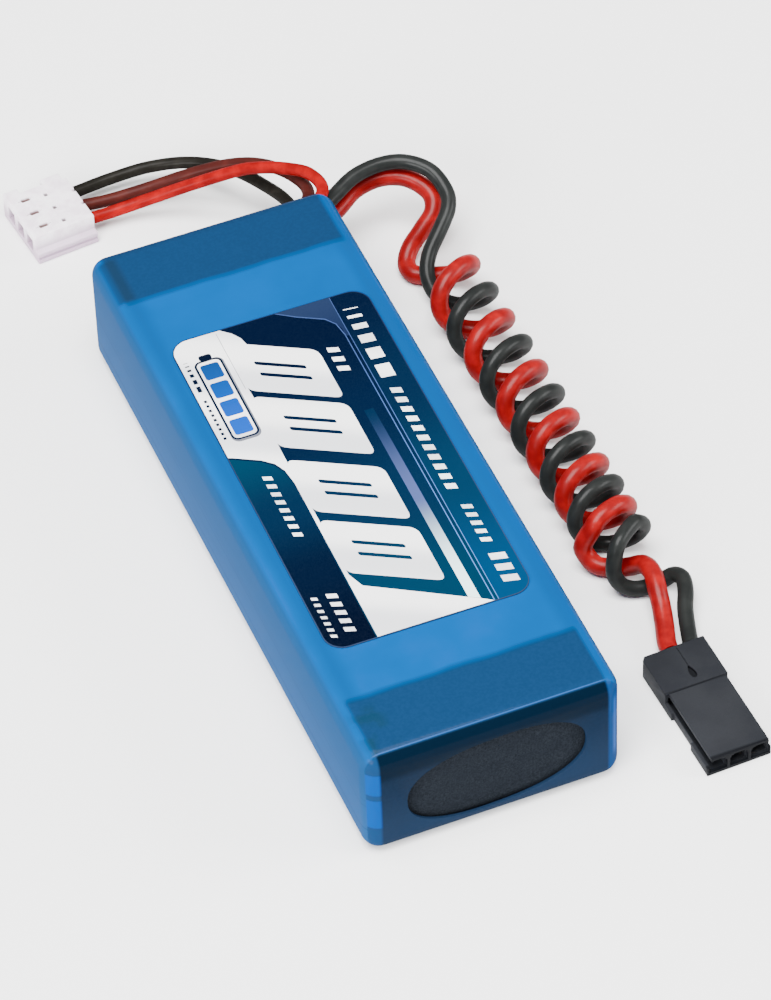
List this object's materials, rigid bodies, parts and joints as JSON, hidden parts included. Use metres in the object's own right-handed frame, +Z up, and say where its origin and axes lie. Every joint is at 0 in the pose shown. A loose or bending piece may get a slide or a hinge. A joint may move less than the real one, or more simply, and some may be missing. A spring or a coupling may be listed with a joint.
{
  "type": "lithium polymer battery pack",
  "caption": "Flat rectangular lithium polymer battery pack in glossy blue heat shrink, with a coiled red and black discharge lead to a servo plug and a thin balance lead to a white plug.",
  "frame": {"origin": "middle of the pack's bottom face, on the surface the pack lies on", "axes": "+Y along the pack towards the end where the wires leave, +X to the right of it, +Z up out of the labelled face"},
  "size_m": [0.0495, 0.1153, 0.0158],
  "materials": {
    "blue_shrink": "glossy thin PVC film",
    "label_print": "printed film, satin",
    "grey_foam": "matt closed-cell foam",
    "amber_tape": "glossy amber film",
    "spacer_tape": "matt double-sided tape",
    "pouch_foil": "satin laminated foil",
    "electrode_stack": "matt coated electrodes",
    "aluminium_tab": "satin",
    "nickel": "nickel plated",
    "board_green": "solder mask over glass laminate",
    "red_silicone": "satin silicone insulation",
    "black_silicone": "satin silicone insulation",
    "brown_vinyl": "satin vinyl insulation",
    "charcoal_plastic": "fine matt moulding",
    "natural_nylon": "natural translucent nylon",
    "tinned_contact": "tinned bronze"
  },
  "bodies": {
    "root": {"shrink_wrap": "blue_shrink", "top_label": "label_print", "front_foam_pad": "grey_foam", "rear_foam_pad": "grey_foam", "tab_insulation_tape": "amber_tape", "cell_spacer_tape": "spacer_tape", "upper_pouch_cup": "pouch_foil", "upper_pouch_cover": "pouch_foil", "upper_electrode_stack": "electrode_stack", "upper_positive_tab": "aluminium_tab", "upper_negative_tab": "nickel", "lower_pouch_cup": "pouch_foil", "lower_pouch_cover": "pouch_foil", "lower_electrode_stack": "electrode_stack", "lower_positive_tab": "aluminium_tab", "lower_negative_tab": "nickel", "terminal_board": "board_green", "series_link": "nickel", "discharge_wire_red_near": "red_silicone", "discharge_wire_black_near": "black_silicone", "discharge_coil": "red_silicone", "discharge_wire_red_far": "red_silicone", "discharge_wire_black_far": "black_silicone", "servo_plug_housing": "charcoal_plastic", "servo_contact_red": "tinned_contact", "servo_contact_black": "tinned_contact", "balance_wire_black": "black_silicone", "balance_wire_brown": "brown_vinyl", "balance_wire_red": "red_silicone", "balance_plug_housing": "natural_nylon", "balance_contact_black": "tinned_contact", "balance_contact_brown": "tinned_contact", "balance_contact_red": "tinned_contact"}
  },
  "joints": []
}
